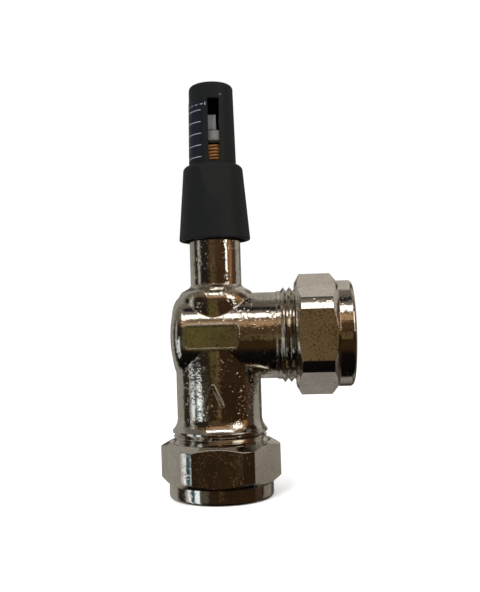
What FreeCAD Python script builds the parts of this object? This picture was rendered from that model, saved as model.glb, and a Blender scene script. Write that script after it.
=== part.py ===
"""Automatic bypass valve, angle pattern, with compression ends for 22 mm pipe.

Millimetres, +Z up. The origin is the centre of the inlet nut's outer face, on the vertical axis.
The inlet points down, the outlet along +X, and the pad and the flow arrow face -Y.
"""

import FreeCAD, Part
import math
import os

from FreeCAD import Placement, Rotation, Vector

# ---------------------------------------------------------------- driving sizes

# pipe and compression ends
pipe_radius = 11.0
pipe_clearance = 0.12
pipe_depth = 20.0            # from a nut's outer face to the pipe stop
male_wall = 1.68              # between the socket and the thread's root
thread_depth = 0.95
thread_pitch = 1.81
thread_start = 0.3           # from the mouth of the male end
thread_clearance = 0.14      # nut bore over the thread crests
mouth_inset = 7.6            # from a nut's outer face to the mouth of the male end
mouth_cone_depth = 2.2
mouth_lip = 0.3

# compression nuts
nut_length = 16.3
nut_wall = 2.11              # from the nut's bore to a flat
nut_corner_trim = 1.5        # how far a turned corner stands out past a flat
nut_chamfer_angle = 30.0
nut_chamfer_width = 2.4
nut_under_chamfer = 1.8      # height of the cone from the collar out to the corners
collar_step = 0.7            # from a flat in to the collar
collar_length = 4.4
collar_edge = 1.1
nut_hole_clearance = 0.1     # over the pipe socket
nut_hole_chamfer = 0.5
nut_hole_length = 2.4
nut_cone_length = 2.2
nut_pocket_gap = 0.35        # round the olive
nut_relief_start = 6.1
nut_relief_length = 1.2
nut_lead_in = 0.8

# olives
olive_length = 6.0
olive_wall = 1.35
olive_edge_wall = 0.4
olive_start = 3.0            # from the nut's outer face
olive_clearance = 0.06

# valve body
axis_height = 46.5           # outlet axis above the inlet nut's outer face
outlet_reach = 39.0          # outlet nut's outer face from the vertical axis
tube_inset = 0.4              # lower tube inside the thread's root
barrel_inset = 0.25           # side barrel inside the thread's root
upper_inset = 1.1             # column above the barrel, inside the lower tube
outlet_thread_shown = 4.3     # thread between the barrel and the nut
inlet_thread_shown = 2.4      # thread between the flare and the nut
inlet_flare_proud = 0.15      # outside the thread's crests
inlet_flare_length = 0.9      # of its plain lip
inlet_flare_fade = 5.0        # radius of the hollow above the lip
inlet_flare_chamfer = 0.3
boss_proud = 0.95             # domed end of the side barrel, past the barrel's radius
boss_dome_height = 1.0
boss_edge_radius = 4.0
boss_flat_radius = 1.5        # flat at the dome's middle
shoulder_low = 10.2          # the shoulder's heights are above the outlet axis
shoulder_mid = 13.2
shoulder_mid_inset = 1.3      # inside the upper column
shoulder_top = 13.9
shoulder_top_step = 1.3       # outside the neck
shoulder_bulge = 0.25        # of the arc over the shoulder
neck_root_width = 0.55
neck_root_height = 1.1
neck_radius = 7.45
neck_rise = 39.0              # the neck's top above the outlet axis
neck_wall = 2.25
neck_chamfer = 0.5
chamber_step = 0.4            # shoulder that the seat ring stops against
chamber_top = 9.5            # above the outlet axis
chamber_chamfer = 1.5
gland_ledge = 0.9             # ledge under the gland insert
gland_rise = 12.3             # the gland's seat above the outlet axis

# raised features on the front of the body
pad_length = 15.4
pad_height = 7.1
pad_centre_x = -0.8
pad_proud = 0.55
pad_corner_radius = 1.4
bead_width = 0.6
bead_height = 0.3
arrow_drop = 13.3             # the arrow's point below the outlet axis
arrow_height = 6.2
arrow_width = 5.4
arrow_line_width = 0.75
arrow_proud = 0.35
arrow_centre_x = -0.8

# seat ring
seat_wall = 3.2               # body wall round the seat ring
seat_rise = 6.5               # the ring's lower face above the pipe stop
seat_ring_length = 3.0
seat_bore_step = 3.0          # from the ring's outside in to its bore
seat_nose_width = 0.65
seat_nose_height = 0.6

# disc and stem
seat_gap = 0.05
disc_side_gap = 0.7           # disc inside the chamber
disc_thickness = 3.6
disc_chamfer_width = 1.6
disc_chamfer_height = 1.0
disc_rim = 0.9                # metal round the seal
seal_thickness = 2.05
seal_proud = 0.2              # seal's face below the disc's rim
fit_gap = 0.05
stem_radius = 1.4
stem_rise = 64.9              # the stem's top above the outlet axis
stem_tail = 3.9              # below the seal
stem_tail_chamfer = 0.25
stem_flats_margin = 4.5      # below the carrier's washer at its lowest
stem_flats_apart = 1.7
stem_shoulder_radius = 2.6
stem_shoulder_length = 1.6
disc_washer_gap = 2.1         # washer inside the seat's bore
disc_washer_thickness = 0.8
disc_nut_across_flats = 5.5
disc_nut_thickness = 2.2

# gland in the foot of the neck
gland_length = 7.7
gland_pocket_slack = 0.04     # beyond the stem's seal and its gaps
gland_pocket_depth = 4.5
stem_clearance = 0.06
gland_groove_height = 1.6
gland_groove_start = 1.4
gland_ring_section = 0.5      # section radius
stem_ring_section = 0.88      # section radius
ring_gap = 0.02              # round a seal, in its groove
gland_washer_thickness = 0.7
gland_nut_slot = 0.9

# spring and its seats
collar_clip_rise = 1.1        # above the gland
collar_clip_thickness = 0.7
collar_clip_width = 1.8
clip_groove_depth = 0.35
clip_mouth_share = 1.6       # of the groove's radius
spring_collar_thickness = 1.2
spring_collar_gap = 0.6       # collar inside the neck's bore
spring_stem_gap = 0.35
spring_wire_radius = 0.3
spring_pitch = 0.93
carrier_washer_thickness = 0.5
carrier_washer_width = 1.6    # beyond the stem

# spring carrier
carrier_rise = 56.7           # the carrier's lower face above the outlet axis
carrier_height = 3.1
carrier_up_travel = 5.2
carrier_down_travel = 8.2
carrier_crown_radius = 2.2    # at its foot
carrier_crown_slope = 0.4
carrier_chamfer_width = 0.7
carrier_chamfer_height = 0.5
carrier_foot_chamfer = 0.25
carrier_crown_height = 0.6
carrier_clearance = 0.15     # inside the head's thread crests
carrier_hole_clearance = 0.12

# setting head
tube_gap = 0.5                # the head's tube above the neck
tube_top_rise = 73.2          # the tube's top above the outlet axis
tube_top_radius = 6.42
tube_foot_radius = 6.87
tube_edge_radius = 1.2
tube_wall = 2.12
tube_thread_depth = 0.35
tube_roof = 3.0
tube_thread_start = 2.0       # above the tube's foot
tube_thread_margin = 1.5      # above the carrier at its highest
tube_thread_pitch = 2.0
tube_flange_thickness = 1.6
window_width = 3.3
window_sill = 0.6             # above the sleeve
window_length = 17.9
window_angle = 9.7           # from -Y towards +X
sleeve_low_rise = 28.0        # the sleeve's foot above the outlet axis
sleeve_length = 21.8
sleeve_foot_gap = 1.8         # from the neck out to the sleeve's foot
sleeve_foot_wall = 1.15
sleeve_head_gap = 0.8         # from the neck out to the sleeve's bore under its roof
sleeve_head_wall = 0.5
sleeve_edge_radius = 1.6
sleeve_foot_round = 0.5
sleeve_roof_gap = 0.6         # over the tube's flange
sleeve_flat_count = 2           # front and back
sleeve_flat_wall = 0.23      # from the tube's foot to a flat, at the sleeve's top
sleeve_flat_lean = 12.4      # degrees, so that the flats run out into the cone below
label_margin = 1.0            # above the sleeve
label_length = 17.5
label_thickness = 0.1
label_start_angle = 22.0     # from -Y towards -X
label_sweep_angle = 136.0

# what holds the head on the neck
web_rise = 33.7               # the web's lower face above the outlet axis
web_thickness = 1.5
neck_running_gap = 0.2
axial_gap = 0.1
thrust_washer_thickness = 0.6
ring_edge_gap = 0.4           # snap ring and thrust washer, inside the sleeve
snap_ring_thickness = 0.8
snap_ring_opening = 3.0
snap_groove_depth = 0.75

# ---------------------------------------------------------------- worked-out sizes

socket_radius = pipe_radius + pipe_clearance
thread_minor_radius = socket_radius + male_wall
thread_major_radius = thread_minor_radius + thread_depth
nut_bore_radius = thread_major_radius + thread_clearance
nut_flat_radius = nut_bore_radius + nut_wall
nut_corner_radius = nut_flat_radius + nut_corner_trim
collar_radius = nut_flat_radius - collar_step
olive_outer_radius = pipe_radius + olive_wall
olive_edge_radius = pipe_radius + olive_edge_wall

tube_radius = thread_minor_radius - tube_inset
barrel_radius = thread_minor_radius - barrel_inset
upper_radius = tube_radius - upper_inset
outlet_thread_end = nut_length + outlet_thread_shown
inlet_flare_low = nut_length + inlet_thread_shown
inlet_flare_high = inlet_flare_low + inlet_flare_length
inlet_flare_radius = thread_major_radius + inlet_flare_proud
boss_reach = barrel_radius + boss_proud
neck_bore_radius = neck_radius - neck_wall
neck_height = axis_height + neck_rise

seat_ring_radius = thread_minor_radius - seat_wall
seat_ring_low = pipe_depth + seat_rise
seat_ring_high = seat_ring_low + seat_ring_length
seat_bore_radius = seat_ring_radius - seat_bore_step
seat_nose_radius = seat_bore_radius + seat_nose_width
chamber_radius = seat_ring_radius - chamber_step
disc_radius = chamber_radius - disc_side_gap
seal_radius = disc_radius - disc_rim
seal_low = seat_ring_high + seat_nose_height + seat_gap
seal_high = seal_low + seal_thickness
disc_low = seal_low + seal_proud
disc_high = disc_low + disc_thickness
disc_washer_radius = seat_bore_radius - disc_washer_gap

gland_seat = axis_height + gland_rise
gland_top = gland_seat + gland_length
stem_port_radius = neck_bore_radius - gland_ledge
gland_groove_radius = neck_bore_radius - 2 * gland_ring_section - fit_gap
stem_hole_radius = stem_radius + stem_clearance
stem_ring_room = 2 * (stem_ring_section + ring_gap)
gland_pocket_radius = stem_hole_radius + stem_ring_room + gland_pocket_slack
stem_top = axis_height + stem_rise
collar_clip_low = gland_top + collar_clip_rise
collar_clip_radius = stem_radius + collar_clip_width
collar_low = collar_clip_low + collar_clip_thickness
collar_high = collar_low + spring_collar_thickness
spring_collar_radius = neck_bore_radius - spring_collar_gap
spring_mean_radius = stem_radius + spring_stem_gap + spring_wire_radius

tube_low = neck_height + tube_gap
tube_top = axis_height + tube_top_rise
tube_bore_radius = tube_foot_radius - tube_wall
tube_crest_radius = tube_bore_radius - tube_thread_depth
carrier_radius = tube_crest_radius - carrier_clearance
carrier_low = axis_height + carrier_rise
carrier_high = carrier_low + carrier_height
carrier_washer_low = carrier_low - carrier_washer_thickness
carrier_washer_radius = stem_radius + carrier_washer_width
stem_flats_start = carrier_washer_low - carrier_down_travel - stem_flats_margin
tube_thread_low = tube_low + tube_thread_start
tube_thread_high = carrier_high + carrier_up_travel + tube_thread_margin

sleeve_low = axis_height + sleeve_low_rise
sleeve_high = sleeve_low + sleeve_length
sleeve_inner_low_radius = neck_radius + sleeve_foot_gap
sleeve_low_radius = sleeve_inner_low_radius + sleeve_foot_wall
sleeve_inner_high_radius = neck_radius + sleeve_head_gap
sleeve_high_radius = sleeve_inner_high_radius + sleeve_head_wall
sleeve_roof_low = tube_low + tube_flange_thickness + sleeve_roof_gap
tube_flange_radius = sleeve_inner_high_radius - fit_gap
window_low = sleeve_high + window_sill
window_high = window_low + window_length
label_low = sleeve_high + label_margin
label_high = label_low + label_length

web_low = axis_height + web_rise
web_high = web_low + web_thickness
thrust_washer_low = web_high + axial_gap
snap_ring_low = thrust_washer_low + thrust_washer_thickness

Z_AXIS = Vector(0, 0, 1)


# ---------------------------------------------------------------- helpers

def lathe(outline, angle=360.0):
    """Solid turned about Z from (radius, height) points; a point may be an ("arc", mid, end) step."""
    edges = []
    here = outline[0]
    for step in outline[1:] + [outline[0]]:
        if step[0] == "arc":
            middle, end = step[1], step[2]
            edges.append(Part.Arc(at(here), at(middle), at(end)).toShape())
            here = end
        elif step != here:
            edges.append(Part.makeLine(at(here), at(step)))
            here = step
    face = Part.Face(Part.Wire(edges))
    return face.revolve(Vector(0, 0, 0), Z_AXIS, angle)


def at(point):
    """Point of a turned outline, in the XZ plane."""
    return Vector(point[0], 0, point[1])


def round_off(centre, radius, start, end):
    """Arc step about a centre, from one direction to another (degrees from +r towards +z)."""
    middle = (start + end) / 2.0
    return ("arc", polar(centre, radius, middle), polar(centre, radius, end))


def polar(centre, radius, degrees):
    angle = math.radians(degrees)
    return (centre[0] + radius * math.cos(angle), centre[1] + radius * math.sin(angle))


def ring(inner, outer, low, high):
    return lathe([(inner, low), (outer, low), (outer, high), (inner, high)])


def cylinder(radius, low, high):
    return Part.makeCylinder(radius, high - low, Vector(0, 0, low))


def o_ring(mean_radius, section_radius, height):
    return Part.makeTorus(mean_radius, section_radius, Vector(0, 0, height), Z_AXIS)


def hexagon(across_flats, low, high):
    """Hexagonal prism about Z, with a flat facing -Y."""
    corner = across_flats / math.sqrt(3.0)
    points = [Vector(*polar((0, 0), corner, 60 * i), low) for i in range(7)]
    return Part.Face(Part.makePolygon(points)).extrude(Vector(0, 0, high - low))


def box_about(width, depth, height, centre):
    corner = Vector(centre.x - width / 2, centre.y - depth / 2, centre.z - height / 2)
    return Part.makeBox(width, depth, height, corner)


def turned(shape, degrees):
    """The shape turned about Z; positive takes -Y towards +X."""
    moved = shape.copy()
    moved.rotate(Vector(0, 0, 0), Z_AXIS, degrees)
    return moved


def at_outlet(shape):
    """A shape built about Z from a nut's outer face, placed on the outlet axis."""
    moved = shape.copy()
    moved.Placement = Placement(
        Vector(outlet_reach, 0, axis_height), Rotation(Vector(0, 1, 0), -90)
    ).multiply(moved.Placement)
    return moved


def tube_radius_at(height):
    """Outer radius of the scale tube, which tapers upwards."""
    share = (height - sleeve_high) / (tube_top - sleeve_high)
    return tube_foot_radius + (tube_top_radius - tube_foot_radius) * share


def sleeve_inner_at(height):
    share = (height - sleeve_low) / (sleeve_roof_low - sleeve_low)
    return sleeve_inner_low_radius + (sleeve_inner_high_radius - sleeve_inner_low_radius) * share


def export(name, shape):
    shape.exportStep(os.path.join("parts", name + ".step"))


# ---------------------------------------------------------------- compression ends

def male_end(thread_end, root_end):
    """Threaded end, built from the nut's outer face; the crests run from the mouth to thread_end."""
    outline = [(0, mouth_inset), (thread_minor_radius, mouth_inset)]
    start = mouth_inset + thread_start
    while start + thread_pitch <= thread_end:
        outline += [
            (thread_minor_radius, start),
            (thread_major_radius, start + 0.38 * thread_pitch),
            (thread_major_radius, start + 0.52 * thread_pitch),
            (thread_minor_radius, start + 0.90 * thread_pitch),
        ]
        start += thread_pitch
    half = (thread_end - start) / 2
    if half > thread_pitch / 6:
        outline += [
            (thread_minor_radius, start),
            (thread_minor_radius + half, start + half),
            (thread_minor_radius, thread_end),
        ]
    outline += [(thread_minor_radius, root_end), (0, root_end)]
    return lathe(outline)


def socket_cut():
    """Pipe socket of one end, with the cone that the olive presses into."""
    cone_radius = thread_minor_radius - mouth_lip
    return lathe([
        (0, mouth_inset - 1),
        (cone_radius, mouth_inset - 1),
        (cone_radius, mouth_inset),
        (socket_radius, mouth_inset + mouth_cone_depth),
        (socket_radius, pipe_depth),
        (0, pipe_depth),
    ])


def compression_nut():
    """Nut with its outer face at z = 0: round collar below, hexagon above."""
    rise = nut_chamfer_width * math.tan(math.radians(nut_chamfer_angle))
    blank = lathe([
        (0, collar_length),
        (collar_radius, collar_length),
        (nut_corner_radius, collar_length + nut_under_chamfer),
        (nut_corner_radius, nut_length - rise),
        (nut_corner_radius - nut_chamfer_width, nut_length),
        (0, nut_length),
    ])
    hexagonal = hexagon(2 * nut_flat_radius, collar_length, nut_length).common(blank)
    edge = (collar_radius - collar_edge, collar_edge)
    collar = lathe([
        (0, 0),
        (edge[0], 0),
        round_off(edge, collar_edge, -90, 0),
        (collar_radius, collar_length),
        (0, collar_length),
    ])
    hole = socket_radius + nut_hole_clearance
    pocket = olive_outer_radius + nut_pocket_gap
    bore = lathe([
        (0, -1),
        (hole + nut_hole_chamfer, -1),
        (hole + nut_hole_chamfer, 0),
        (hole, nut_hole_chamfer),
        (hole, nut_hole_length),
        (pocket, nut_hole_length + nut_cone_length),
        (pocket, nut_relief_start),
        (nut_bore_radius, nut_relief_start + nut_relief_length),
        (nut_bore_radius, nut_length - nut_lead_in),
        (nut_bore_radius + nut_lead_in, nut_length),
        (nut_bore_radius + nut_lead_in, nut_length + 1),
        (0, nut_length + 1),
    ])
    return hexagonal.fuse(collar).cut(bore).removeSplitter()


def olive():
    """Compression ring, barrel shaped, with its lower end inside the nut's cone."""
    low = olive_start
    high = olive_start + olive_length
    inner = pipe_radius + olive_clearance
    return lathe([
        (inner, low),
        (olive_edge_radius, low),
        (olive_outer_radius, low + olive_length * 0.32),
        (olive_outer_radius, low + olive_length * 0.55),
        (olive_edge_radius, high),
        (inner, high),
    ])


# ---------------------------------------------------------------- valve body

def column():
    """Lower tube with its thread, then the narrower upper column, the shoulder and the neck."""
    inlet = male_end(inlet_flare_low, inlet_flare_low + 1)
    fade_centre = tube_radius + inlet_flare_fade
    fade_angle = math.acos((fade_centre - inlet_flare_radius) / inlet_flare_fade)
    fade_top = inlet_flare_high + inlet_flare_fade * math.sin(fade_angle)
    fade_middle = polar((fade_centre, fade_top), inlet_flare_fade, 180 + math.degrees(fade_angle) / 2)
    shoulder_mid_radius = upper_radius - shoulder_mid_inset
    shoulder_middle = (
        (upper_radius + shoulder_mid_radius) / 2 + shoulder_bulge,
        axis_height + (shoulder_low + shoulder_mid) / 2 + shoulder_bulge,
    )
    trunk = lathe([
        (0, inlet_flare_low),
        (thread_minor_radius, inlet_flare_low),
        (inlet_flare_radius, inlet_flare_low + inlet_flare_chamfer),
        (inlet_flare_radius, inlet_flare_high),
        ("arc", fade_middle, (tube_radius, fade_top)),
        (tube_radius, axis_height),
        (upper_radius, axis_height),
        (upper_radius, axis_height + shoulder_low),
        ("arc", shoulder_middle, (shoulder_mid_radius, axis_height + shoulder_mid)),
        (neck_radius + shoulder_top_step, axis_height + shoulder_top),
        (neck_radius + neck_root_width, axis_height + shoulder_top + neck_root_height / 3),
        (neck_radius, axis_height + shoulder_top + neck_root_height),
        (neck_radius, neck_height - neck_chamfer),
        (neck_radius - neck_chamfer, neck_height),
        (0, neck_height),
    ])
    return trunk, inlet


def side_barrel():
    """Side barrel on the outlet axis: threaded at one end, domed at the other."""
    thread_end = outlet_thread_end
    far = outlet_reach + boss_reach
    edge_centre = (barrel_radius - boss_edge_radius, far - boss_dome_height - boss_edge_radius)
    dome_middle = ((edge_centre[0] + boss_flat_radius) / 2, far - boss_dome_height / 4)
    barrel = lathe([
        (0, thread_end),
        (barrel_radius, thread_end),
        (barrel_radius, edge_centre[1]),
        round_off(edge_centre, boss_edge_radius, 0, 90),
        ("arc", dome_middle, (boss_flat_radius, far)),
        (0, far),
    ])
    return at_outlet(barrel), at_outlet(male_end(thread_end, thread_end + 1))


def body_outside():
    """Forging: the column, the side barrel and the two threaded ends."""
    trunk, inlet_thread = column()
    barrel, outlet_thread = side_barrel()
    return trunk.multiFuse([barrel, inlet_thread, outlet_thread])


def front_pad():
    """Flat pad with a raised bead round it, on the front of the side barrel."""
    centre = Vector(pad_centre_x, 0, axis_height)
    front = -(barrel_radius + pad_proud)
    plate = rounded_plate(pad_length, pad_height, pad_corner_radius, front, centre)
    rim_outer = rounded_plate(pad_length, pad_height, pad_corner_radius, front - bead_height, centre)
    rim_inner = rounded_plate(
        pad_length - 2 * bead_width,
        pad_height - 2 * bead_width,
        pad_corner_radius - bead_width,
        front - bead_height - 1,
        centre,
    )
    return plate.fuse(rim_outer.cut(rim_inner))


def rounded_plate(length, height, corner, front, centre):
    """Block with rounded corners that reaches forward from inside the barrel's wall to y = front."""
    back = -chamber_radius - 1.0
    plate = box_about(length, back - front, height, Vector(centre.x, (back + front) / 2, centre.z))
    upright = [e for e in plate.Edges if abs(e.BoundBox.YLength - (back - front)) < 1e-6]
    return plate.makeFillet(corner, upright)


def flow_arrow():
    """Raised arrowhead on the lower tube, pointing up with the flow."""
    apex = Vector(arrow_centre_x, 0, axis_height - arrow_drop)
    length = math.hypot(arrow_width / 2, arrow_height)
    lean = math.degrees(math.atan2(arrow_width / 2, arrow_height))
    legs = []
    for side in (-1, 1):
        leg = Part.makeBox(
            arrow_line_width,
            2 * tube_radius,
            length,
            Vector(-arrow_line_width / 2, -2 * tube_radius, -length),
        )
        leg.rotate(Vector(0, 0, 0), Vector(0, 1, 0), -side * lean)
        leg.translate(apex)
        legs.append(leg)
    arrow = legs[0].fuse(legs[1])
    skin = ring(tube_radius - 1.0, tube_radius + arrow_proud, apex.z - 2 * arrow_height, apex.z + 2)
    return arrow.common(skin)


def body_inside():
    """Everything cut out of the forging."""
    above_neck = neck_height + 1
    vertical = lathe([
        (0, pipe_depth - 1),
        (seat_ring_radius, pipe_depth - 1),
        (seat_ring_radius, seat_ring_high),
        (chamber_radius, seat_ring_high),
        (chamber_radius, axis_height + chamber_top - chamber_chamfer),
        (chamber_radius - chamber_chamfer, axis_height + chamber_top),
        (stem_port_radius, axis_height + chamber_top),
        (stem_port_radius, gland_seat),
        (neck_bore_radius, gland_seat),
        (neck_bore_radius, above_neck),
        (0, above_neck),
    ])
    branch = cylinder(chamber_radius, pipe_depth - 1, outlet_reach)
    groove = ring(
        neck_radius - snap_groove_depth,
        neck_radius + 1,
        snap_ring_low,
        snap_ring_low + snap_ring_thickness,
    )
    return [vertical, socket_cut(), at_outlet(socket_cut()), at_outlet(branch), groove]


def valve_body():
    solid = body_outside().multiFuse([front_pad(), flow_arrow()])
    for cut in body_inside():
        solid = solid.cut(cut)
    return solid.removeSplitter()


def seat_ring():
    """Seat fitted from the inlet side against the shoulder below the chamber."""
    nose_high = seat_ring_high + seat_nose_height
    return lathe([
        (seat_bore_radius, seat_ring_low),
        (seat_ring_radius, seat_ring_low),
        (seat_ring_radius, seat_ring_high),
        (seat_nose_radius + seat_nose_height, seat_ring_high),
        (seat_nose_radius, nose_high),
        (seat_bore_radius, nose_high),
    ])


# ---------------------------------------------------------------- gland

def gland_insert():
    """Brass insert at the foot of the neck: guides the stem and holds its seal."""
    pocket_low = gland_top - gland_pocket_depth
    groove_low = gland_seat + gland_groove_start
    return lathe([
        (stem_hole_radius, gland_seat),
        (neck_bore_radius, gland_seat),
        (neck_bore_radius, groove_low),
        (gland_groove_radius, groove_low),
        (gland_groove_radius, groove_low + gland_groove_height),
        (neck_bore_radius, groove_low + gland_groove_height),
        (neck_bore_radius, gland_top),
        (gland_pocket_radius, gland_top),
        (gland_pocket_radius, pocket_low),
        (stem_hole_radius, pocket_low),
    ])


def gland_parts():
    """The insert's two seals, and the washer and slotted nut that close its pocket."""
    pocket_low = gland_top - gland_pocket_depth
    washer_low = pocket_low + stem_ring_room
    nut_low = washer_low + gland_washer_thickness
    nut = ring(stem_hole_radius, gland_pocket_radius - fit_gap, nut_low, gland_top)
    slot = box_about(2 * neck_bore_radius, gland_nut_slot, 2 * gland_nut_slot, Vector(0, 0, gland_top))
    return {
        "gland_o_ring": o_ring(
            gland_groove_radius + gland_ring_section + ring_gap,
            gland_ring_section,
            gland_seat + gland_groove_start + gland_groove_height / 2,
        ),
        "stem_o_ring": o_ring(
            stem_hole_radius + stem_ring_section + ring_gap,
            stem_ring_section,
            pocket_low + stem_ring_section + ring_gap,
        ),
        "gland_washer": ring(stem_hole_radius, gland_pocket_radius - fit_gap, washer_low, nut_low),
        "gland_nut": nut.cut(slot),
    }


# ---------------------------------------------------------------- disc and stem

def stem():
    """Spindle from the disc, through the gland and the spring, to its flat end in the window."""
    groove_low = collar_clip_low
    groove_radius = stem_radius - clip_groove_depth
    tail = seal_low - stem_tail
    rod = lathe([
        (0, tail),
        (stem_radius - stem_tail_chamfer, tail),
        (stem_radius, tail + stem_tail_chamfer),
        (stem_radius, disc_high),
        (stem_shoulder_radius, disc_high),
        (stem_shoulder_radius, disc_high + stem_shoulder_length),
        (stem_radius, disc_high + stem_shoulder_length),
        (stem_radius, groove_low),
        (groove_radius, groove_low),
        (groove_radius, groove_low + collar_clip_thickness),
        (stem_radius, groove_low + collar_clip_thickness),
        (stem_radius, stem_top),
        (0, stem_top),
    ])
    keep = box_about(
        4 * stem_radius,
        stem_flats_apart,
        stem_top - stem_flats_start,
        Vector(0, 0, (stem_top + stem_flats_start) / 2),
    )
    waste = cylinder(2 * stem_radius, stem_flats_start, stem_top + 1).cut(turned(keep, window_angle))
    return rod.cut(waste)


def valve_disc():
    """Brass disc with a recess below for the seal."""
    return lathe([
        (seal_radius + fit_gap, disc_low),
        (disc_radius, disc_low),
        (disc_radius, disc_high - disc_chamfer_height),
        (disc_radius - disc_chamfer_width, disc_high),
        (stem_hole_radius, disc_high),
        (stem_hole_radius, seal_high),
        (seal_radius + fit_gap, seal_high),
    ])


def disc_parts():
    washer_low = seal_low - disc_washer_thickness
    nut_low = washer_low - disc_nut_thickness
    nut = hexagon(disc_nut_across_flats, nut_low, washer_low)
    return {
        "disc_seal": ring(stem_hole_radius, seal_radius, seal_low, seal_high),
        "disc_washer": ring(stem_hole_radius, disc_washer_radius, washer_low, seal_low),
        "disc_nut": nut.cut(cylinder(stem_hole_radius, nut_low - 1, washer_low + 1)),
    }


def collar_clip():
    """E-clip in the stem's groove, open on one side."""
    high = collar_clip_low + collar_clip_thickness
    inner = stem_radius - clip_groove_depth
    clip = ring(inner, collar_clip_radius, collar_clip_low, high)
    mouth = box_about(
        clip_mouth_share * inner,
        collar_clip_radius + 1,
        2 * collar_clip_thickness,
        Vector(0, (collar_clip_radius + 1) / 2, (collar_clip_low + high) / 2),
    )
    return clip.cut(mouth)


def spring_collar():
    return ring(stem_hole_radius, spring_collar_radius, collar_low, collar_high)


# ---------------------------------------------------------------- spring and carrier

def setting_spring():
    """Coil between the stem's collar and the carrier's washer, with its ends ground flat."""
    low = collar_high + spring_wire_radius
    length = carrier_washer_low - collar_high - 2 * spring_wire_radius
    path = Part.makeHelix(spring_pitch, length, spring_mean_radius)
    path.translate(Vector(0, 0, low))
    start = Vector(spring_mean_radius, 0, low)
    section = Part.Wire(Part.makeCircle(spring_wire_radius, start, Vector(0, 1, 0)))
    return Part.Wire(path.Edges).makePipeShell([section], True, True)


def carrier_hole(low, high, clearance):
    """Hole that slides on the stem's two flats, so that the carrier can't turn on the stem."""
    round_hole = cylinder(stem_radius + clearance, low, high)
    flats = box_about(
        4 * stem_radius,
        stem_flats_apart + 2 * clearance,
        high - low,
        Vector(0, 0, (low + high) / 2),
    )
    return round_hole.common(turned(flats, window_angle))


def spring_carrier():
    """Nylon nut whose rim runs in the head's thread; its crown shows in the window."""
    blank = lathe([
        (0, carrier_low),
        (carrier_radius - carrier_foot_chamfer, carrier_low),
        (carrier_radius, carrier_low + carrier_foot_chamfer),
        (carrier_radius, carrier_high - carrier_chamfer_height),
        (carrier_radius - carrier_chamfer_width, carrier_high),
        (carrier_crown_radius, carrier_high),
        (carrier_crown_radius - carrier_crown_slope, carrier_high + carrier_crown_height),
        (0, carrier_high + carrier_crown_height),
    ])
    hole_high = carrier_high + 2 * carrier_crown_height
    return blank.cut(carrier_hole(carrier_low - 1, hole_high, carrier_hole_clearance))


def carrier_washer():
    inner = stem_radius + carrier_hole_clearance
    return ring(inner, carrier_washer_radius, carrier_washer_low, carrier_low)


# ---------------------------------------------------------------- head

def scale_tube():
    """Black tube: closed top, internal thread, window slot and a foot flange inside the sleeve."""
    corner = (tube_top_radius - tube_edge_radius, tube_top - tube_edge_radius)
    outline = [
        (tube_bore_radius, tube_low),
        (tube_flange_radius, tube_low),
        (tube_flange_radius, tube_low + tube_flange_thickness),
        (tube_foot_radius, tube_low + tube_flange_thickness),
        (tube_foot_radius, sleeve_high),
        (tube_radius_at(corner[1]), corner[1]),
        round_off(corner, tube_edge_radius, 0, 90),
        (0, tube_top),
        (0, tube_top - tube_roof),
        (tube_bore_radius, tube_top - tube_roof),
    ]
    crests = int((tube_thread_high - tube_thread_low) / tube_thread_pitch)
    for i in range(crests, -1, -1):
        foot = tube_thread_low + i * tube_thread_pitch
        outline += [
            (tube_bore_radius, foot + 0.6 * tube_thread_pitch),
            (tube_crest_radius, foot + 0.45 * tube_thread_pitch),
            (tube_crest_radius, foot + 0.15 * tube_thread_pitch),
            (tube_bore_radius, foot),
        ]
    tube = lathe(outline)
    slot = Part.makeBox(
        window_width,
        2 * tube_foot_radius,
        window_high - window_low,
        Vector(-window_width / 2, -2 * tube_foot_radius, window_low),
    )
    return tube.cut(turned(slot, window_angle))


def grip_sleeve():
    """Flared skirt with leaning flats at its top and a web inside that hooks under the snap ring."""
    top_edge = (sleeve_high_radius - sleeve_edge_radius, sleeve_high - sleeve_edge_radius)
    foot_edge = (sleeve_low_radius - sleeve_foot_round, sleeve_low + sleeve_foot_round)
    web_bore = neck_radius + neck_running_gap
    skirt = lathe([
        (sleeve_inner_low_radius, sleeve_low),
        (foot_edge[0], sleeve_low),
        round_off(foot_edge, sleeve_foot_round, -90, 0),
        (sleeve_high_radius, top_edge[1]),
        round_off(top_edge, sleeve_edge_radius, 0, 90),
        (tube_foot_radius, sleeve_high),
        (tube_foot_radius, sleeve_roof_low),
        (sleeve_inner_high_radius, sleeve_roof_low),
        (sleeve_inner_at(web_high), web_high),
        (web_bore, web_high),
        (web_bore, web_low),
        (sleeve_inner_at(web_low), web_low),
    ])
    flat = Part.makeBox(
        4 * sleeve_low_radius,
        sleeve_low_radius,
        2 * sleeve_length,
        Vector(-2 * sleeve_low_radius, -sleeve_low_radius, -sleeve_length),
    )
    flat.rotate(Vector(0, 0, 0), Vector(1, 0, 0), -sleeve_flat_lean)
    flat.translate(Vector(0, -tube_foot_radius - sleeve_flat_wall, sleeve_high))
    for i in range(sleeve_flat_count):
        skirt = skirt.cut(turned(flat, window_angle + 360.0 * i / sleeve_flat_count))
    return skirt


def scale_label():
    """Thin film wrapped on the left of the tube, beside the window."""
    low_radius = tube_radius_at(label_low)
    high_radius = tube_radius_at(label_high)
    film = lathe(
        [
            (low_radius, label_low),
            (low_radius + label_thickness, label_low),
            (high_radius + label_thickness, label_high),
            (high_radius, label_high),
        ],
        label_sweep_angle,
    )
    return turned(film, -90 - label_start_angle - label_sweep_angle)


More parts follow.
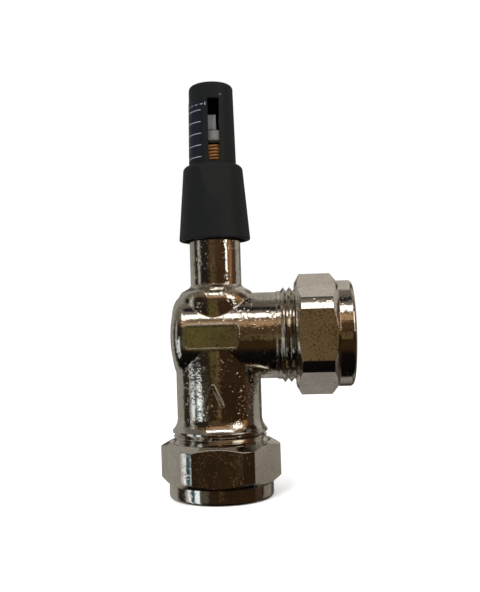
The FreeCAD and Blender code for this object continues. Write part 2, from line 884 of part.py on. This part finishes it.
def head_retainers():
    """Ring in the neck's groove and the washer that the head turns against."""
    snap_high = snap_ring_low + snap_ring_thickness
    outer = sleeve_inner_at(snap_high) - ring_edge_gap
    snap = ring(neck_radius - snap_groove_depth, outer, snap_ring_low, snap_high)
    opening = box_about(
        snap_ring_opening,
        4 * neck_radius,
        4 * snap_ring_thickness,
        Vector(0, 2 * neck_radius, snap_ring_low),
    )
    return {
        "snap_ring": snap.cut(opening),
        "thrust_washer": ring(neck_radius + fit_gap, outer, thrust_washer_low, snap_ring_low),
    }


# ---------------------------------------------------------------- build

def build():
    os.makedirs("parts", exist_ok=True)
    nut = compression_nut()
    ring_olive = olive()
    pieces = {
        "valve_body": valve_body(),
        "seat_ring": seat_ring(),
        "inlet_nut": nut,
        "outlet_nut": at_outlet(nut),
        "inlet_olive": ring_olive,
        "outlet_olive": at_outlet(ring_olive),
        "gland_insert": gland_insert(),
        "stem": stem(),
        "valve_disc": valve_disc(),
        "collar_clip": collar_clip(),
        "spring_collar": spring_collar(),
        "setting_spring": setting_spring(),
        "spring_carrier": spring_carrier(),
        "carrier_washer": carrier_washer(),
        "scale_tube": scale_tube(),
        "grip_sleeve": grip_sleeve(),
        "scale_label": scale_label(),
    }
    pieces.update(gland_parts())
    pieces.update(disc_parts())
    pieces.update(head_retainers())
    for name, shape in pieces.items():
        export(name, shape)
        print(f"{name:16s} solids {len(shape.Solids)} volume {shape.Volume:9.2f} valid {shape.isValid()}")


build()
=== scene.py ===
import math

import bmesh
import bpy
from mathutils import Matrix, Vector


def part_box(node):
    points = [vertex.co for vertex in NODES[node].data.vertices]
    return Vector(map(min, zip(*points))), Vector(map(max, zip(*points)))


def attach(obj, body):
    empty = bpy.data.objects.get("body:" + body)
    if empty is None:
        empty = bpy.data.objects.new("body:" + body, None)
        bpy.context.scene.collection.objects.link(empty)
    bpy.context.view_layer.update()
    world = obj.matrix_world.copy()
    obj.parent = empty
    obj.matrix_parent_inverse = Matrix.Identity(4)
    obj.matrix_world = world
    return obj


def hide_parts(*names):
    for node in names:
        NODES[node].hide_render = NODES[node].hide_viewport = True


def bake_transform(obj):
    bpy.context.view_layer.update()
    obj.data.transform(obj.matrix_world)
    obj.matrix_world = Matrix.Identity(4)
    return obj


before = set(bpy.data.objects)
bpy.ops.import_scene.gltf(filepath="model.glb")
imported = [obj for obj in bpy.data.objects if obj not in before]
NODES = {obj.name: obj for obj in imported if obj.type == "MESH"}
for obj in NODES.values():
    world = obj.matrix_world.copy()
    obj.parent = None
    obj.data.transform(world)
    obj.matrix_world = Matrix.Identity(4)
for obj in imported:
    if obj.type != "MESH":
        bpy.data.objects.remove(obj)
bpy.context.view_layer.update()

MM = 0.001

# Places that the looks and the camera go by, read from the frame.
LABEL_LOW, LABEL_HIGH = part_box("scale_label")
OUTLET_LOW, OUTLET_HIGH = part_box("outlet_nut")
INLET_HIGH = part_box("inlet_nut")[1]
SPRING_LOW, SPRING_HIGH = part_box("setting_spring")
AXIS_Z = (OUTLET_LOW.z + OUTLET_HIGH.z) / 2

# The body's fine detail: the outlet thread lies past THREAD_X, the inlet's thread and lip below
# LIP_Z, and the pad and the arrow in front of RELIEF_Y. Each has a soft border.
THREAD_X = OUTLET_LOW.x - 4.3 * MM
LIP_Z = INLET_HIGH.z + 3.3 * MM
RELIEF_Y = -12.65 * MM
BORDER = 0.2 * MM
RELIEF_BORDER = 0.1 * MM
DETAIL_EDGE = 0.28 * MM       # radius of the edges in that detail
DETAIL_PITS = 0.3             # share of the pits' depth in that detail


# ---------------------------------------------------------------- camera

def make_camera():
    """Close-up camera in front of the valve, level, a little above the outlet's axis."""
    distance = 222 * MM
    azimuth = math.radians(4.3)
    height = AXIS_Z + 3.1 * MM
    lean = math.radians(1.65)
    back = Vector((math.sin(azimuth), -math.cos(azimuth), 0))
    data = bpy.data.cameras.new("camera")
    data.sensor_width = 36
    data.lens = 46
    data.shift_x = 0.0383
    data.shift_y = 0.0507
    data.clip_start = 0.01
    data.clip_end = 20
    camera = bpy.data.objects.new("camera", data)
    camera.rotation_mode = "QUATERNION"
    level = (-back).to_track_quat("-Z", "Y")
    camera.rotation_quaternion = level @ Matrix.Rotation(-lean, 3, "Z").to_quaternion()
    camera.location = back * distance + Vector((0, 0, height))
    bpy.context.scene.collection.objects.link(camera)
    bpy.context.scene.camera = camera


# ---------------------------------------------------------------- node helpers

BEVEL_SAMPLES = 4


class Nodes:
    """A node tree, with short calls for the nodes that the materials and the studio share."""

    def __init__(self, owner, shader_type="BSDF_PRINCIPLED", coordinates="Object"):
        owner.use_nodes = True
        self.owner = owner
        self.tree = owner.node_tree
        self.shader = next(n for n in self.tree.nodes if n.type == shader_type)
        self.place = self.tree.nodes.new("ShaderNodeTexCoord").outputs[coordinates]

    def link(self, output, target):
        self.tree.links.new(output, target)

    def noise(self, scale, detail=4.0, roughness=0.55, stretch=None):
        """Noise whose features are about 1 / scale metres wide."""
        node = self.tree.nodes.new("ShaderNodeTexNoise")
        node.inputs["Scale"].default_value = scale
        node.inputs["Detail"].default_value = detail
        node.inputs["Roughness"].default_value = roughness
        self.link(self.stretched(stretch), node.inputs["Vector"])
        return node.outputs["Fac"]

    def stretched(self, stretch):
        if stretch is None:
            return self.place
        node = self.tree.nodes.new("ShaderNodeMapping")
        node.inputs["Scale"].default_value = stretch
        self.link(self.place, node.inputs["Vector"])
        return node.outputs["Vector"]

    def ramp(self, value, stops, smooth=False):
        node = self.tree.nodes.new("ShaderNodeValToRGB")
        if smooth:
            node.color_ramp.interpolation = "EASE"
        elements = node.color_ramp.elements
        while len(elements) < len(stops):
            elements.new(0.5)
        for element, (position, colour) in zip(elements, stops):
            element.position = position
            if isinstance(colour, (int, float)):
                colour = (colour, colour, colour)
            element.color = (*colour, 1.0)
        self.link(value, node.inputs["Fac"])
        return node.outputs["Color"]

    def split(self, vector):
        node = self.tree.nodes.new("ShaderNodeSeparateXYZ")
        self.link(vector, node.inputs["Vector"])
        return node.outputs

    def remap(self, value, low, high, from_low=0.0, from_high=1.0):
        node = self.tree.nodes.new("ShaderNodeMapRange")
        node.inputs["From Min"].default_value = from_low
        node.inputs["From Max"].default_value = from_high
        node.inputs["To Min"].default_value = low
        node.inputs["To Max"].default_value = high
        self.link(value, node.inputs["Value"])
        return node.outputs["Result"]

    def math(self, operation, a, b):
        node = self.tree.nodes.new("ShaderNodeMath")
        node.operation = operation
        for socket, value in zip(node.inputs, (a, b)):
            if isinstance(value, (int, float)):
                socket.default_value = value
            else:
                self.link(value, socket)
        return node.outputs["Value"]

    def mix(self, share, a, b):
        node = self.tree.nodes.new("ShaderNodeMix")
        node.data_type = "RGBA"
        for name, value in (("Factor", share), ("A", a), ("B", b)):
            socket = next(s for s in node.inputs if s.name == name and s.enabled)
            if isinstance(value, tuple):
                socket.default_value = (*value, 1.0)
            elif isinstance(value, (int, float)):
                socket.default_value = value
            else:
                self.link(value, socket)
        return next(s for s in node.outputs if s.enabled)

    def band(self, value, low, high, soft):
        """1 between low and high, falling smoothly to 0 over soft outside them."""
        rise = self.smooth(value, low - soft, low)
        fall = self.smooth(value, high + soft, high)
        return self.math("MULTIPLY", rise, fall)

    def smooth(self, value, start, end):
        """0 before start, 1 after end, smooth between them; start may be the larger."""
        node = self.tree.nodes.new("ShaderNodeMapRange")
        node.interpolation_type = "SMOOTHSTEP"
        node.inputs["From Min"].default_value = start
        node.inputs["From Max"].default_value = end
        self.link(value, node.inputs["Value"])
        return node.outputs["Result"]

    def bump(self, *layers, edge=None):
        """Bump from (height, distance) pairs, one over another; edge rounds the edges, if given."""
        normal = None
        if edge:
            node = self.tree.nodes.new("ShaderNodeBevel")
            node.samples = BEVEL_SAMPLES
            if isinstance(edge, float):
                node.inputs["Radius"].default_value = edge
            else:
                self.link(edge, node.inputs["Radius"])
            normal = node.outputs["Normal"]
        for height, distance in layers:
            node = self.tree.nodes.new("ShaderNodeBump")
            node.inputs["Strength"].default_value = 1.0
            node.inputs["Distance"].default_value = distance
            self.link(height, node.inputs["Height"])
            if normal is not None:
                self.link(normal, node.inputs["Normal"])
            normal = node.outputs["Normal"]
        self.link(normal, self.shader.inputs["Normal"])

    def set(self, **values):
        for name, value in values.items():
            socket = self.shader.inputs[name.replace("_", " ").title().replace("Ior", "IOR")]
            if isinstance(value, tuple):
                socket.default_value = (*value, 1.0)
            elif isinstance(value, (int, float)):
                socket.default_value = value
            else:
                self.link(value, socket)


# ---------------------------------------------------------------- metals

FLECK_TONE = (1.0, 0.96, 0.88)
FLECK_SHARE = 0.5
PIT_POWER = 7.0               # the higher it is, the fewer and narrower the pits
# Colour of painted shade on the stem where it lies inside the spring
STEM_SHADE_TONE = (0.035, 0.025, 0.018)
RING_DEPTH = 0.01 * MM


def plain_skin(n):
    """1 on the body's plain skin, 0 on its threads, the inlet's lip, the pad and the arrow."""
    x, y, z = n.split(n.place)
    off_thread = n.smooth(x, THREAD_X + BORDER, THREAD_X)
    above_lip = n.smooth(z, LIP_Z, LIP_Z + BORDER)
    behind_relief = n.smooth(y, RELIEF_Y, RELIEF_Y + RELIEF_BORDER)
    return n.math("MULTIPLY", n.math("MULTIPLY", off_thread, above_lip), behind_relief)


def plated(name, tone, dull, skin, specks, roughness, edge, forged=False):
    """Nickel plating: tone is its clean colour, dull its stained one.

    skin is the height of the cast or turned surface under the plating, specks that of the small
    pits, and edge the radius that polishing leaves on the edges. A forged skin has less of both
    where the body has fine detail.
    """
    n = Nodes(bpy.data.materials.new(name))
    stain = n.ramp(n.noise(110, 5, 0.6), [(0.38, 0.0), (0.68, 1.0)], smooth=True)
    fleck = n.math("MULTIPLY", n.smooth(n.noise(1700, 2, 0.6), 0.60, 0.68), FLECK_SHARE)
    n.set(
        base_color=n.mix(fleck, n.mix(stain, tone, dull), FLECK_TONE),
        metallic=1.0,
        roughness=n.remap(n.noise(300, 3), *roughness, 0.3, 0.7),
    )
    patchy = n.remap(n.noise(260, 3), 0.1, 1.0, 0.42, 0.60)
    pitted = patchy
    if forged:
        plain = plain_skin(n)
        edge = n.remap(plain, DETAIL_EDGE, edge)
        pitted = n.math("MULTIPLY", patchy, n.remap(plain, DETAIL_PITS, 1.0))
    grain = n.noise(1100, 3, 0.6)
    pits = n.math("POWER", n.noise(1500, 1, 0.5), PIT_POWER)
    n.bump(
        (n.math("MULTIPLY", grain, patchy), skin),
        (n.math("MULTIPLY", pits, pitted), specks),
        edge=edge,
    )
    return n.owner


def turned_metal(name, tone, dull, roughness, metallic=1.0, shaded_band=None):
    """Metal with fine turned rings round Z; its last argument gives the heights of a dark band of
    painted shade.
    """
    n = Nodes(bpy.data.materials.new(name))
    rings = n.noise(700, 2, 0.5, stretch=(0.15, 0.15, 4.0))
    base = n.mix(n.remap(n.noise(160), 0, 1, 0.35, 0.65), tone, dull)
    if shaded_band:
        # Darkens the band with painted shade
        height = n.split(n.place)[2]
        base = n.mix(n.band(height, *shaded_band, 1 * MM), base, STEM_SHADE_TONE)
    n.set(
        base_color=base,
        metallic=metallic,
        roughness=n.remap(rings, roughness, roughness + 0.15, 0.3, 0.7),
    )
    n.bump((rings, RING_DEPTH))
    return n.owner


# ---------------------------------------------------------------- plastics

def moulded(name, tone, worn, roughness, grain_depth, gloss):
    """Moulded plastic with a fine satin grain, and flow marks that lean to the worn colour."""
    n = Nodes(bpy.data.materials.new(name))
    flow = n.noise(35, 3, 0.5, stretch=(1, 1, 0.25))
    base = n.mix(n.remap(flow, 0, 0.5, 0.4, 0.7), tone, worn)
    n.set(
        base_color=base,
        roughness=n.remap(n.noise(600, 3), *roughness, 0.3, 0.7),
        specular_ior_level=gloss,
    )
    n.bump((n.noise(2600, 3, 0.6), grain_depth), (n.noise(120, 2), grain_depth * 2))
    return n.owner


def rubber():
    """Black nitrile with a dusty bloom."""
    n = Nodes(bpy.data.materials.new("nitrile_rubber"))
    n.set(base_color=n.mix(n.noise(300), (0.02, 0.02, 0.02), (0.05, 0.05, 0.05)), roughness=0.6)
    n.bump((n.noise(1200), 0.01 * MM))
    return n.owner


def finish(material, *names):
    """Gives the material to these CAD nodes."""
    for name in names:
        slots = NODES[name].data.materials
        slots.clear()
        slots.append(material)


def finish_metals():
    forged = plated(
        "plated_forging",
        tone=(0.68, 0.65, 0.60),
        dull=(0.56, 0.52, 0.46),
        skin=0.022 * MM,
        specks=0.62 * MM,
        roughness=(0.05, 0.10),
        edge=0.7 * MM,
        forged=True,
    )
    nut = plated(
        "plated_nut",
        tone=(0.66, 0.63, 0.58),
        dull=(0.56, 0.52, 0.47),
        skin=0.010 * MM,
        specks=0.28 * MM,
        roughness=(0.06, 0.12),
        edge=0.3 * MM,
    )
    brass = turned_metal("turned_brass", (0.80, 0.58, 0.28), (0.62, 0.42, 0.18), roughness=0.22)
    steel = turned_metal("steel", (0.56, 0.57, 0.60), (0.42, 0.43, 0.46), roughness=0.25)
    wire = turned_metal(
        "spring_wire", (1.0, 0.58, 0.23), (0.92, 0.42, 0.14), roughness=0.26, metallic=0.4
    )
    zinc = turned_metal(
        "zinc_stem",
        (0.48, 0.48, 0.50),
        (0.34, 0.34, 0.36),
        roughness=0.45,
        metallic=0.1,
        # the stem is darkened with painted shade along the spring, which hides it
        shaded_band=(SPRING_LOW.z, SPRING_HIGH.z),
    )
    finish(forged, "valve_body")
    finish(nut, "inlet_nut", "outlet_nut")
    finish(brass, "inlet_olive", "outlet_olive", "seat_ring", "gland_insert", "gland_nut")
    finish(brass, "valve_disc", "disc_nut", "spring_collar")
    finish(steel, "disc_washer", "collar_clip", "carrier_washer", "snap_ring", "gland_washer")
    finish(zinc, "stem")
    finish(wire, "setting_spring")


def finish_plastics():
    black = moulded(
        "black_plastic",
        tone=(0.0052, 0.0062, 0.0062),
        worn=(0.0090, 0.0106, 0.0106),
        roughness=(0.46, 0.58),
        grain_depth=0.004 * MM,
        gloss=0.2,
    )
    film = moulded(
        "label_film",
        tone=(0.0040, 0.0056, 0.0092),
        worn=(0.0062, 0.0085, 0.0130),
        roughness=(0.36, 0.46),
        grain_depth=0.002 * MM,
        gloss=0.2,
    )
    nylon = moulded(
        "white_nylon",
        tone=(0.170, 0.160, 0.145),
        worn=(0.120, 0.112, 0.100),
        roughness=(0.35, 0.50),
        grain_depth=0.006 * MM,
        gloss=0.4,
    )
    acetal = moulded(
        "acetal",
        tone=(0.55, 0.53, 0.48),
        worn=(0.45, 0.43, 0.40),
        roughness=(0.35, 0.50),
        grain_depth=0.004 * MM,
        gloss=0.4,
    )
    finish(black, "scale_tube", "grip_sleeve")
    finish(film, "scale_label")
    finish(nylon, "spring_carrier")
    finish(acetal, "thrust_washer")
    finish(rubber(), "gland_o_ring", "stem_o_ring", "disc_seal")


# ---------------------------------------------------------------- spring

def make_spring():
    """Copy of the spring's mesh, put in place of the CAD spring, which is hidden."""
    node = NODES["setting_spring"]
    coil = bpy.data.objects.new("spring_coil", node.data.copy())
    coil.matrix_world = node.matrix_world
    bpy.context.scene.collection.objects.link(coil)
    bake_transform(coil)
    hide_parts("setting_spring")


# ---------------------------------------------------------------- printed scale

INK_PROUD = 0.02 * MM         # the ink's face above the film
INK_DEPTH = 0.05 * MM         # its whole thickness, partly inside the film


def label_radius(height):
    """Largest distance from the axis among the label's vertices at one of its two edges."""
    reach = 0.1 * MM
    film = NODES["scale_label"].data.vertices
    return max(math.hypot(v.co.x, v.co.y) for v in film if abs(v.co.z - height) < reach)


def tube_radius(height):
    """Outer radius of the scale tube, which tapers from the sleeve to the top of the label."""
    low_radius = label_radius(LABEL_LOW.z)
    high_radius = label_radius(LABEL_HIGH.z)
    share = (height - LABEL_LOW.z) / (LABEL_HIGH.z - LABEL_LOW.z)
    return low_radius + (high_radius - low_radius) * share


def on_tube(angle, height, proud):
    """Point on the tube's surface; the angle is in degrees from -Y towards +X."""
    radius = tube_radius(height) + proud
    turn = math.radians(angle)
    return Vector((radius * math.sin(turn), -radius * math.cos(turn), height))


def print_patch(mesh, from_angle, to_angle, low, high):
    """Adds one closed, thin printed mark to the mesh, wrapped on the tube."""
    step = 3.0
    steps = max(2, int(abs(to_angle - from_angle) / step))
    loops = []
    for i in range(steps + 1):
        angle = from_angle + (to_angle - from_angle) * i / steps
        loops.append([
            mesh.verts.new(on_tube(angle, low, INK_PROUD - INK_DEPTH)),
            mesh.verts.new(on_tube(angle, low, INK_PROUD)),
            mesh.verts.new(on_tube(angle, high, INK_PROUD)),
            mesh.verts.new(on_tube(angle, high, INK_PROUD - INK_DEPTH)),
        ])
    for here, there in zip(loops, loops[1:]):
        for k in range(4):
            mesh.faces.new((here[k], here[(k + 1) % 4], there[(k + 1) % 4], there[k]))
    mesh.faces.new(loops[0][::-1])
    mesh.faces.new(loops[-1])


def printed_scale(material):
    """Five ticks on the label, the dashed ring above them, and two small marks by the window."""
    line = 0.16 * MM
    label_right, tick_sweep = -22.5, 62.0
    top_tick, tick_step = LABEL_HIGH.z - 3.4 * MM, 3.34 * MM
    first_dash, dash_step, dash_sweep = -16.0, 15.0, 8.5
    dash_height = LABEL_HIGH.z - 1.75 * MM
    upright = (-10.0, -11.6, dash_height - 0.35 * MM, dash_height + 0.6 * MM)
    dot = (27.0, 29.5, LABEL_HIGH.z + 0.9 * MM, LABEL_HIGH.z + 1.1 * MM)
    mesh = bmesh.new()
    for i in range(5):
        low = top_tick - i * tick_step
        print_patch(mesh, label_right, label_right - tick_sweep, low, low + line)
    for i in range(6):
        start = first_dash - dash_step * i
        print_patch(mesh, start, start - dash_sweep, dash_height, dash_height + line)
    print_patch(mesh, *upright)
    print_patch(mesh, *dot)
    data = bpy.data.meshes.new("scale_print")
    mesh.to_mesh(data)
    mesh.free()
    data.materials.append(material)
    piece = bpy.data.objects.new("scale_print", data)
    bpy.context.scene.collection.objects.link(piece)
    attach(piece, "head")


def print_ink():
    """Pale ink, slightly uneven."""
    n = Nodes(bpy.data.materials.new("print_ink"))
    n.set(base_color=n.mix(n.noise(1500, 3), (0.13, 0.14, 0.16), (0.30, 0.31, 0.34)), roughness=0.5)
    n.bump((n.noise(3000), 0.004 * MM))
    return n.owner


# ---------------------------------------------------------------- studio

def make_floor(material):
    """Floor that curves up into a backdrop behind the valve."""
    mesh = bmesh.new()
    half_width, front, back, bend, top = 6.0, -6.0, 3.0, 1.0, 5.0
    bend_steps = 12
    outline = [(front, 0.0)]
    for i in range(bend_steps + 1):
        angle = math.radians(90 * i / bend_steps)
        outline.append((back + bend * math.sin(angle), bend - bend * math.cos(angle)))
    outline.append((back + bend, top))
    rows = [[mesh.verts.new((x, y, z)) for y, z in outline] for x in (-half_width, half_width)]
    for i in range(len(outline) - 1):
        mesh.faces.new((rows[0][i], rows[1][i], rows[1][i + 1], rows[0][i + 1]))
    data = bpy.data.meshes.new("floor")
    mesh.to_mesh(data)
    mesh.free()
    for polygon in data.polygons:
        polygon.use_smooth = True
    data.materials.append(material)
    floor = bpy.data.objects.new("floor", data)
    floor.visible_glossy = False
    bpy.context.scene.collection.objects.link(floor)


def floor_material():
    """Matt white that glows a little, so that the floor and the backdrop look even."""
    n = Nodes(bpy.data.materials.new("pale_floor"))
    n.set(
        base_color=n.mix(n.noise(4, 2), (0.90, 0.90, 0.90), (0.92, 0.92, 0.92)),
        roughness=0.8,
        emission_color=(1.0, 1.0, 1.0),
        emission_strength=0.09,
        specular_ior_level=0.0,
    )
    return n.owner


def area_light(name, place, size, power):
    """White rectangular lamp aimed at the valve, unseen in reflections."""
    aim = Vector((0, 0, 0.06))
    data = bpy.data.lights.new(name, "AREA")
    data.shape = "RECTANGLE"
    data.size, data.size_y = size
    data.energy = power
    light = bpy.data.objects.new(name, data)
    light.location = place
    light.rotation_mode = "QUATERNION"
    light.rotation_quaternion = (aim - Vector(place)).to_track_quat("-Z", "Y")
    light.visible_glossy = False
    bpy.context.scene.collection.objects.link(light)


# The room that the plating reflects. Azimuth 0 is -Y and 90 is +X, elevation 90 is up, both in
# degrees. A ramp's stops go from straight down at 0 to straight up at 1.
ROOM_RAMP = [
    (0.00, (0.004, 0.003, 0.003)),
    (0.26, (0.006, 0.005, 0.005)),
    (0.33, (0.040, 0.023, 0.008)),
    (0.39, (0.046, 0.026, 0.009)),
    (0.44, (0.029, 0.015, 0.007)),
    (0.50, (0.040, 0.021, 0.010)),
    (0.56, (0.090, 0.047, 0.020)),
    (0.67, (0.100, 0.054, 0.024)),
    (0.75, (0.200, 0.140, 0.090)),
    (0.84, (0.260, 0.220, 0.180)),
    (1.00, (0.140, 0.125, 0.110)),
]
# The pale wall behind has a darker foot, a darker left part and dark uprights.
WALL_RAMP = [
    (0.05, (0.110, 0.100, 0.090)),
    (0.15, (0.330, 0.315, 0.285)),
    (0.23, (0.290, 0.275, 0.250)),
    (0.30, (0.060, 0.050, 0.042)),
    (0.37, (0.080, 0.065, 0.055)),
    (0.43, (0.290, 0.260, 0.225)),
    (0.50, (0.380, 0.345, 0.305)),
    (0.62, (0.470, 0.430, 0.385)),
    (0.90, (0.660, 0.620, 0.560)),
]
# Colour, azimuths, elevations and soft border of each patch; a later one lies over an earlier one.
ROOM_PATCHES = [
    # dim furniture in front, olive and taupe
    ((0.120, 0.102, 0.032), (-18, -5), (-2, 24), 3.0),
    ((0.086, 0.058, 0.027), (-20, -3), (5, 26), 3.0),
    ((0.158, 0.108, 0.048), (-1, 6), (-11, 2), 2.0),
    # the lit ceiling
    ((0.50, 0.32, 0.18), (-30, 60), (28, 40), 3.0),
    ((3.0, 2.9, 2.7), (-40, 50), (51, 59), 3.0),
    ((0.02, 0.02, 0.02), (-60, 70), (72, 80), 4.0),
    # windows on the left, seen below and above the horizon
    ((0.16, 0.15, 0.12), (-112, -64), (0, 60), 3.0),
    ((0.03, 0.025, 0.02), (-100, -84), (-40, 20), 3.0),
    ((0.62, 0.60, 0.56), (-80, -73), (-30, 30), 2.0),
    ((1.22, 1.29, 1.31), (-72, -46), (-40, -5), 2.0),
    ((0.03, 0.09, 0.12), (-65, -58), (-40, -4), 2.0),
    ((0.022, 0.016, 0.012), (-64, -28), (-2, 26), 3.0),
    ((0.095, 0.088, 0.068), (-42, -27), (-18, -6), 3.0),
    # lamp on the right with its amber shade
    ((0.20, 0.13, 0.07), (60, 84), (3, 60), 2.0),
    ((4.0, 3.9, 3.7), (52, 57), (4.5, 40), 1.0),
    ((2.2, 2.1, 1.8), (40, 66), (20, 36), 3.0),
    ((0.36, 0.16, 0.05), (70, 82), (0, 30), 3.0),
    ((0.07, 0.045, 0.03), (84, 100), (-14, 40), 4.0),
]
WALL_LEFT_TONE = (0.36, 0.345, 0.310)
WALL_LEFT = (-60, -100)
UPRIGHT_TONE = (0.09, 0.08, 0.07)
UPRIGHTS = ((-168, -160), (143, 158))


def make_world():
    """White to the eye and as soft light; in reflections, a dim room, lamps and a pale wall."""
    world = bpy.data.worlds.new("studio")
    bpy.context.scene.world = world
    n = Nodes(world, "BACKGROUND", "Generated")
    paths = n.tree.nodes.new("ShaderNodeLightPath")
    room = reflected_room(n)
    n.link(n.mix(paths.outputs["Is Glossy Ray"], (1.0, 1.0, 1.0), room), n.shader.inputs["Color"])


def reflected_room(n):
    """Colour of the room by direction; behind the valve, the wall covers the rest."""
    x, y, z = n.split(n.place)
    azimuth = n.math("DEGREES", n.math("ARCTAN2", x, n.math("MULTIPLY", y, -1.0)), 0.0)
    elevation = n.math("DEGREES", n.math("ARCSINE", z, 0.0), 0.0)
    upness = n.remap(elevation, 0.0, 1.0, -90.0, 90.0)
    colour = n.ramp(upness, ROOM_RAMP)
    for tone, azimuths, elevations, soft in ROOM_PATCHES:
        across = n.band(azimuth, *azimuths, soft)
        up = n.band(elevation, *elevations, soft)
        colour = n.mix(n.math("MULTIPLY", across, up), colour, tone)
    wall = n.ramp(upness, WALL_RAMP)
    wall = n.mix(n.smooth(azimuth, *WALL_LEFT), wall, WALL_LEFT_TONE)
    for low, high in UPRIGHTS:
        wall = n.mix(n.band(azimuth, low, high, 3.0), wall, UPRIGHT_TONE)
    behind = n.smooth(y, 0.24, 0.36)
    return n.mix(behind, colour, wall)


make_camera()
make_world()
make_floor(floor_material())
finish_metals()
finish_plastics()
make_spring()
printed_scale(print_ink())
area_light("key", place=(-0.3, -0.7, 0.5), size=(0.4, 0.4), power=7)
area_light("fill", place=(0.6, -0.3, 0.5), size=(0.3, 0.5), power=2)
bpy.context.scene.view_settings.view_transform = "Standard"
